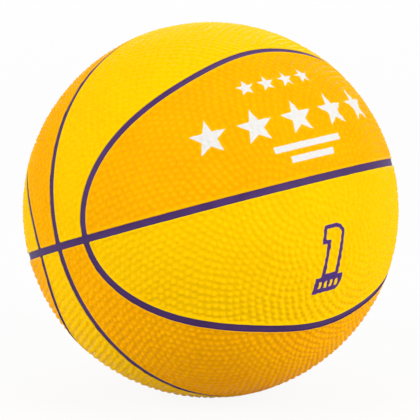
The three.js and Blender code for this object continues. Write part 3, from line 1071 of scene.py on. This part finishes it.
def thread_relief(points, distance):
    """The highest of nine sets of ridges: each is a cosine of the distance from its great circle."""
    across = BALL_RADIUS * np.arcsin(np.clip(points @ winding_axes().T, -1, 1))
    ridges = np.cos(2 * np.pi * across / BUNDLE_WIDTH).max(axis=1, keepdims=True)
    return np.where(distance > (WINDING_OUTER + WINDING_INNER) / 2, THREAD_HEIGHT * ridges, 0)


print("Thread runs round", len(winding_axes()), "axes in ridges", BUNDLE_WIDTH, "mm apart")

# %% Thread material
THREAD_WIDTH = 0.8
WAVE_PERIODS = 20
DARK_THREAD = "#CFC7AE"
PALE_THREAD = "#EDE8DA"


def latex_thread():
    """Nylon thread under a skin of latex: cream, in fine lines that cross, a little glossy."""
    material, tree = new_material("nylon_thread_in_latex")
    place = add(tree, "ShaderNodeTexCoord")
    # Threads of about 0.8 mm, drawn as bands whose direction wanders.
    threads = add(tree, "ShaderNodeTexWave", {
        "Vector": (place, "Object"), "Scale": PER_METRE / THREAD_WIDTH / WAVE_PERIODS,
        "Distortion": 6.0, "Detail": 2.0, "Detail Scale": 0.4})
    tone = add(tree, "ShaderNodeMix", {
        0: (threads, "Fac"), 6: linear(DARK_THREAD), 7: linear(PALE_THREAD)}, data_type="RGBA")
    rough = add(tree, "ShaderNodeMapRange", {
        "Value": (threads, "Fac"), "To Min": 0.65, "To Max": 0.45})
    bump = add(tree, "ShaderNodeBump", {
        "Strength": 0.5, "Distance": 0.2 * MM, "Height": (threads, "Fac")})
    shader = add(tree, "ShaderNodeBsdfPrincipled", {
        "Base Color": (tone, 2), "Roughness": (rough, 0), "Normal": (bump, 0),
        "Specular IOR Level": 0.4})
    add(tree, "ShaderNodeOutputMaterial", {"Surface": (shader, 0)})
    return material


thread = latex_thread()
print("Winding material:", thread.name)

# %% Make the layers
valve_half = turned("carcass_shell_valve_half", valve_half_profile, LAYER_SEGMENTS)
dress(valve_half, carcass_rubber, "carcass_valve_half")
closed_half = turned("carcass_shell_closed_half", closed_half_profile, LAYER_SEGMENTS)
dress(closed_half, carcass_rubber, "carcass_closed_half")
winding_profile = shell_profile(WINDING_OUTER, WINDING_INNER)
winding = turned("thread_winding", winding_profile, LAYER_SEGMENTS, thread_relief)
dress(winding, thread, "nylon_winding")
bladder = turned("bladder_shell", shell_profile(BLADDER_OUTER, BLADDER_INNER), LAYER_SEGMENTS)
dress(bladder, butyl_rubber, "bladder")

# %% [markdown]
# ## Stage, light and camera
#
# A pale floor, a white surround and soft lamps, as in a product studio. The white lies only in how the
# floor and the surround are seen, by the camera and in gloss. More light would give it too, but would
# bleach the ball. The camera stands well back, so that the ball's outline is a circle of the size that
# the photograph shows.

# %% Floor
FLOOR_SIZE = 8.0
FLOOR_WHITE = "#DEDEDE"
FLOOR_WASH = 0.92


def seen_directly(tree):
    """1 for rays from the camera, off gloss and through glass, and 0 for rays that carry light."""
    path = add(tree, "ShaderNodeLightPath")
    seen = add(tree, "ShaderNodeMath", {
        0: (path, "Is Camera Ray"), 1: (path, "Is Glossy Ray")}, operation="MAXIMUM")
    return add(tree, "ShaderNodeMath", {
        0: (seen, 0), 1: (path, "Is Transmission Ray")}, operation="MAXIMUM")


def white_floor():
    """Matte pale paper, mostly washed out to white where it is seen, with a soft shadow left in it."""
    material, tree = new_material("pale_studio_paper")
    paper = add(tree, "ShaderNodeBsdfPrincipled", {
        "Base Color": linear(FLOOR_WHITE), "Roughness": 0.9, "Specular IOR Level": 0.1})
    wash = add(tree, "ShaderNodeEmission", {"Color": (1, 1, 1, 1), "Strength": 1.0})
    share = add(tree, "ShaderNodeMath", {
        0: (seen_directly(tree), 0), 1: FLOOR_WASH}, operation="MULTIPLY")
    shader = add(tree, "ShaderNodeMixShader", {0: (share, 0), 1: (paper, 0), 2: (wash, 0)})
    add(tree, "ShaderNodeOutputMaterial", {"Surface": (shader, 0)})
    return material


edge = FLOOR_SIZE / 2
floor_corners = [(-edge, -edge, 0), (edge, -edge, 0), (edge, edge, 0), (-edge, edge, 0)]
floor_mesh = bpy.data.meshes.new("studio_floor")
floor_mesh.from_pydata(floor_corners, [], [(0, 1, 2, 3)])
floor_mesh.materials.append(white_floor())
floor = bpy.data.objects.new("studio_floor", floor_mesh)
bpy.context.scene.collection.objects.link(floor)
print("Floor:", FLOOR_SIZE, "m wide")

# %% White surround
SURROUND = 0.1

world = bpy.data.worlds.new("white_surround")
bpy.context.scene.world = world
world.use_nodes = True
world.node_tree.nodes.clear()
sky_tree = world.node_tree
shown = seen_directly(sky_tree)
strength = add(sky_tree, "ShaderNodeMapRange", {
    "Value": (shown, 0), "To Min": SURROUND, "To Max": 1.0})
sky = add(sky_tree, "ShaderNodeBackground", {"Color": (1, 1, 1, 1), "Strength": (strength, 0)})
add(sky_tree, "ShaderNodeOutputWorld", {"Surface": (sky, 0)})
print("Surround: strength", SURROUND, "as light, and white where it is seen")

# %% Lamps
MIDDLE = Vector(BALL_CENTRE * MM)
# Each lamp: its place from the ball's middle and its width, in metres, and its power in watts.
LAMPS = {
    "top_softbox": ((0.0, 0.0, 1.4), 0.6, 4.8),
    "upper_back_softbox": ((0.0, 0.75, 1.15), 0.6, 3.6),
    "back_softbox": ((0.0, 1.35, 0.45), 0.8, 5.0),
    "front_right_softbox": ((0.85, -0.85, 0.75), 0.6, 8.8),
    "front_left_softbox": ((-0.85, -0.85, 0.75), 0.6, 7.6),
    "left_softbox": ((-1.35, -0.3, 0.35), 0.8, 6.4),
    "right_softbox": ((1.35, -0.3, 0.35), 0.8, 7.8),
    "low_front_softbox": ((0.0, -1.42, 0.16), 0.36, 0.5),
}
for name, (offset, size, power) in LAMPS.items():
    lamp = bpy.data.lights.new(name, "AREA")
    lamp.size = size
    lamp.energy = power
    holder = bpy.data.objects.new(name, lamp)
    holder.location = MIDDLE + Vector(offset)
    holder.rotation_euler = (-Vector(offset)).to_track_quat("-Z", "Y").to_euler()
    bpy.context.scene.collection.objects.link(holder)
bpy.context.scene.view_settings.view_transform = "Standard"
print("Lamps:", len(LAMPS), "of", round(sum(power for _, _, power in LAMPS.values()), 1), "watts in all")

# %% Camera
FRAME_PIXELS = 420
BALL_PIXELS = 188.4
BALL_AT = (210.75, 209.8)
DISTANCE_IN_RADII = 20
ELEVATION = np.radians(10)
SENSOR = 36.0

camera_data = bpy.data.cameras.new("photo_camera")
camera_data.sensor_width = SENSOR
camera_data.lens = SENSOR / FRAME_PIXELS * BALL_PIXELS * np.sqrt(DISTANCE_IN_RADII**2 - 1)
camera_data.shift_x = (FRAME_PIXELS / 2 - BALL_AT[0]) / FRAME_PIXELS
camera_data.shift_y = (BALL_AT[1] - FRAME_PIXELS / 2) / FRAME_PIXELS
camera = bpy.data.objects.new("photo_camera", camera_data)
towards = Vector((0, -np.cos(ELEVATION), np.sin(ELEVATION)))
camera.location = MIDDLE + towards * (DISTANCE_IN_RADII * BALL_RADIUS * MM)
camera.rotation_euler = (-towards).to_track_quat("-Z", "Y").to_euler()
bpy.context.scene.collection.objects.link(camera)
bpy.context.scene.camera = camera
print("Lens:", round(camera_data.lens, 1), "mm at", round(camera.location.length, 2), "m")
